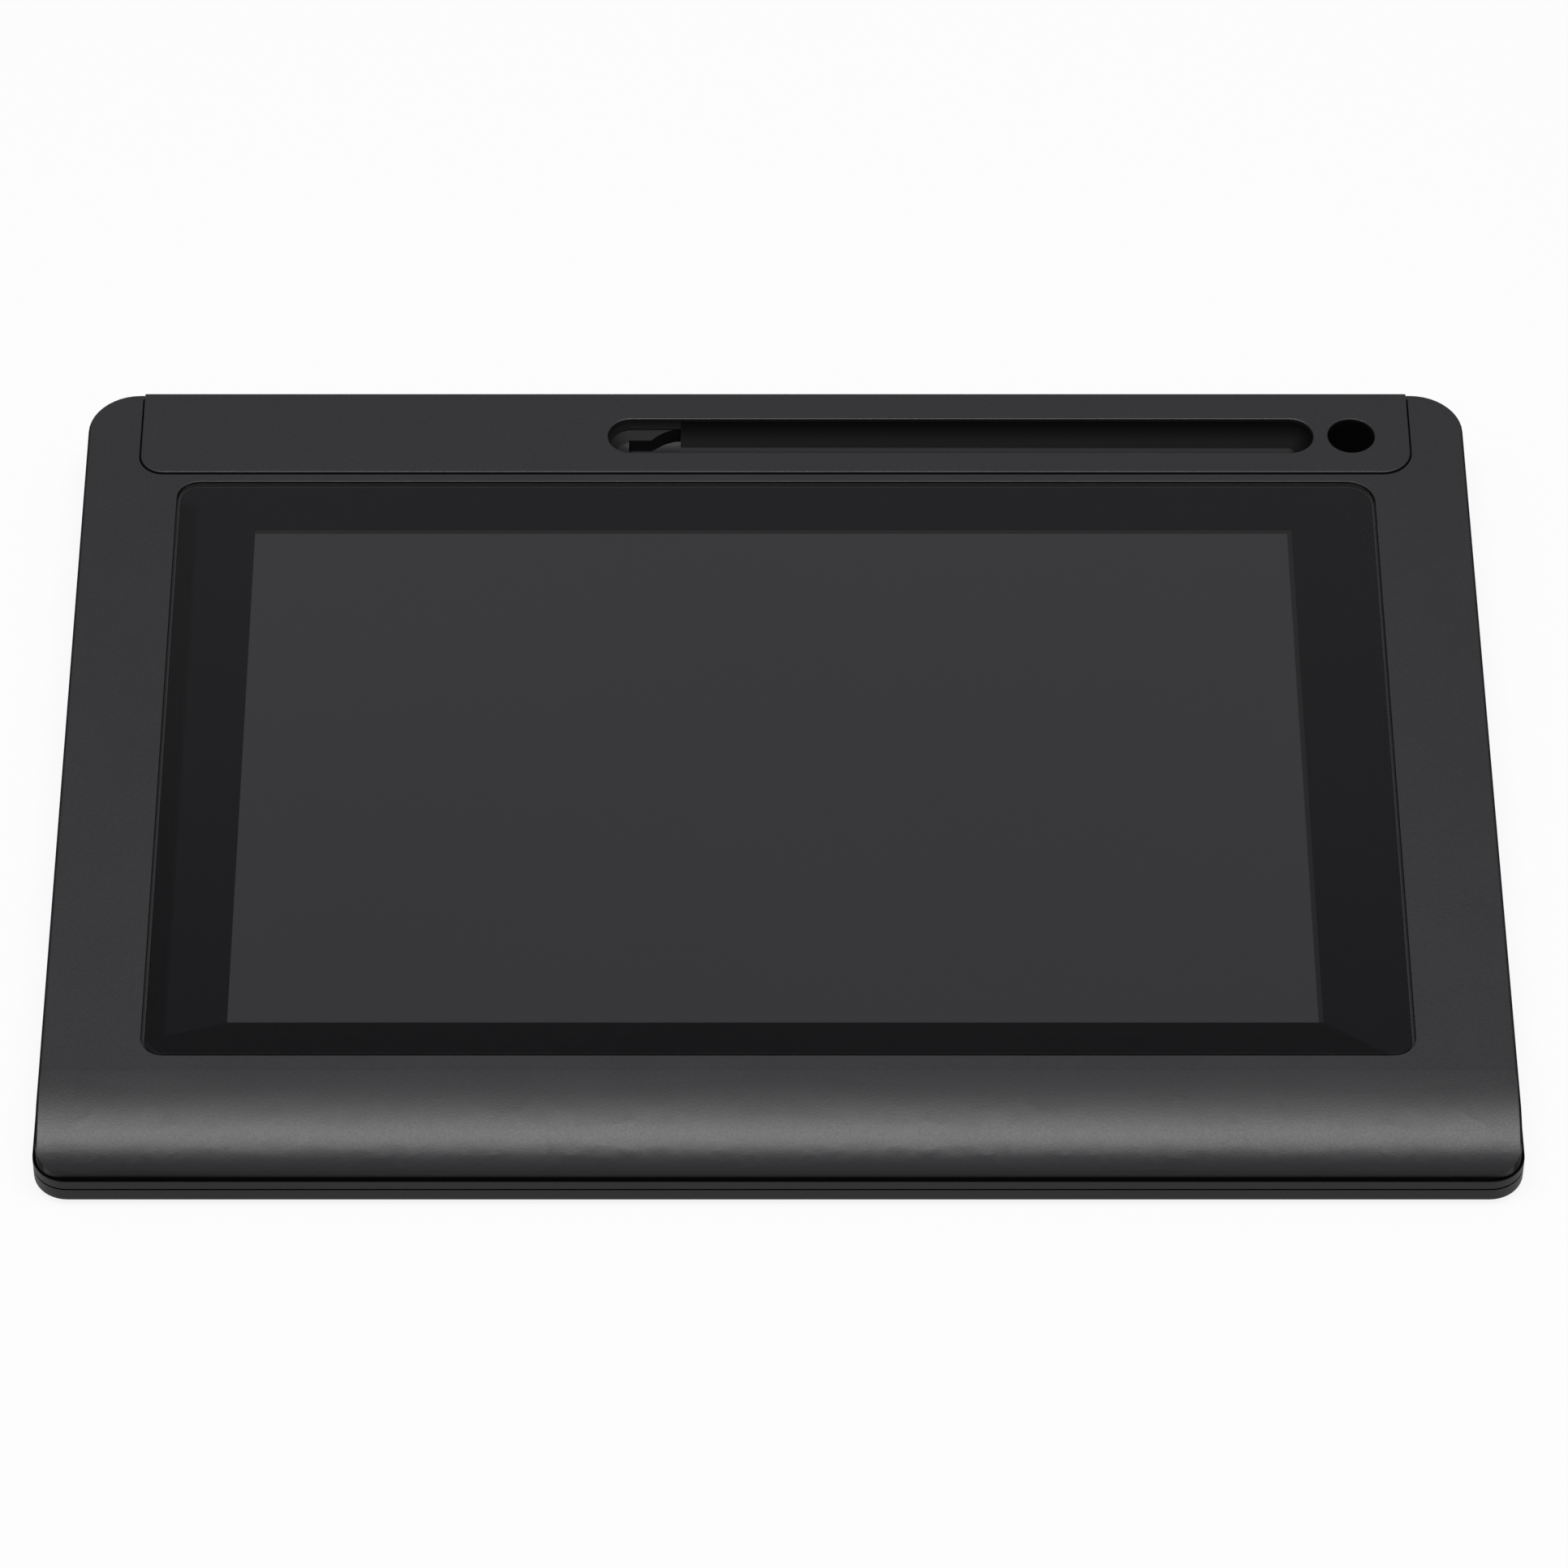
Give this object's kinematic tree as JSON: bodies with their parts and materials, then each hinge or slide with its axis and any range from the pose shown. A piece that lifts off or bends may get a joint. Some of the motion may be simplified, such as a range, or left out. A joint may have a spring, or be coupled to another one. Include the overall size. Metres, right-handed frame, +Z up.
{
  "type": "LCD signature pad",
  "caption": "Flat desk pad with a glass-covered display for signing, a pen tray with groove and well along its rear edge, a rolled front edge, rubber feet and fold-out tilt legs.",
  "frame": {"origin": "centre of the footprint, on the desk under the rubber feet", "axes": "+X to the user's right along the long side, +Y from the user's edge towards the pen tray, +Z up"},
  "size_m": [0.294, 0.2118, 0.0154],
  "materials": {
    "case_plastic": "fine even grain",
    "well_plastic": "smooth, glossy",
    "button_plastic": "satin",
    "cover_glass": "polished",
    "black_print": "smooth printed ink",
    "lcd_black": "satin",
    "lcd_glass": "anti-glare film",
    "acrylic": "polished",
    "lamp": "moulded",
    "sheet_steel": "pressed",
    "screw_steel": "plated",
    "circuit_board": "solder mask",
    "magnetic_foil": "rolled foil",
    "moulded_black": "moulded",
    "connector_ivory": "moulded",
    "amber_film": "polyimide film",
    "foam_tape": "closed foam",
    "gasket_rubber": "matt",
    "foot_rubber": "matt",
    "plate_metal": "satin, blank"
  },
  "bodies": {
    "case": {"top_cover": "case_plastic", "mid_frame": "case_plastic", "bottom_cover": "case_plastic", "cover_glass": "cover_glass", "border_print": "black_print", "lcd_bezel": "lcd_black", "lcd_cell": "lcd_glass", "light_guide": "acrylic", "led_bar": "lamp", "lcd_tray": "sheet_steel", "shield_can": "sheet_steel", "security_slot_plate": "sheet_steel", "signal_port_shell": "sheet_steel", "power_port_shell": "sheet_steel", "case_screws": "screw_steel", "frame_screws": "screw_steel", "board_screws": "screw_steel", "left_leg_pin": "screw_steel", "right_leg_pin": "screw_steel", "lcd_driver_board": "circuit_board", "main_board": "circuit_board", "button_board": "circuit_board", "sensor_board": "circuit_board", "shield_sheet": "magnetic_foil", "board_chips": "moulded_black", "button_switch": "moulded_black", "signal_port_tongue": "moulded_black", "power_port_tongue": "moulded_black", "cable_connectors": "connector_ivory", "lcd_flex": "amber_film", "sensor_flex": "amber_film", "button_flex": "amber_film", "glass_tape": "foam_tape", "lower_seam_gasket": "gasket_rubber", "upper_seam_gasket": "gasket_rubber", "foot_front_left": "foot_rubber", "foot_front_right": "foot_rubber", "foot_rear_left": "foot_rubber", "foot_rear_right": "foot_rubber", "rating_plate": "plate_metal"},
    "tray": {"pen_tray": "case_plastic", "pen_well_cup": "well_plastic"},
    "button": {"power_button": "button_plastic", "switch_plunger": "connector_ivory"},
    "left_tilt_leg": {"left_leg": "case_plastic", "left_leg_pad": "foot_rubber"},
    "right_tilt_leg": {"right_leg": "case_plastic", "right_leg_pad": "foot_rubber"}
  },
  "joints": [
    {"name": "tray_lift", "type": "slide", "parent": "case", "child": "tray", "axis": [0, 0, 1], "range_m": [0, 0.025]},
    {"name": "button_press", "type": "slide", "parent": "case", "child": "button", "axis": [-1, 0, 0], "range_m": [0, 0.0005], "stiffness_N_per_m": 2000},
    {"name": "left_leg_hinge", "type": "hinge", "parent": "case", "child": "left_tilt_leg", "pos_m": [0, 0.07687, 0.0027], "axis": [1, 0, 0], "range_deg": [0, 95]},
    {"name": "right_leg_hinge", "type": "hinge", "parent": "case", "child": "right_tilt_leg", "pos_m": [0, 0.07687, 0.0027], "axis": [1, 0, 0], "range_deg": [0, 95]}
  ]
}
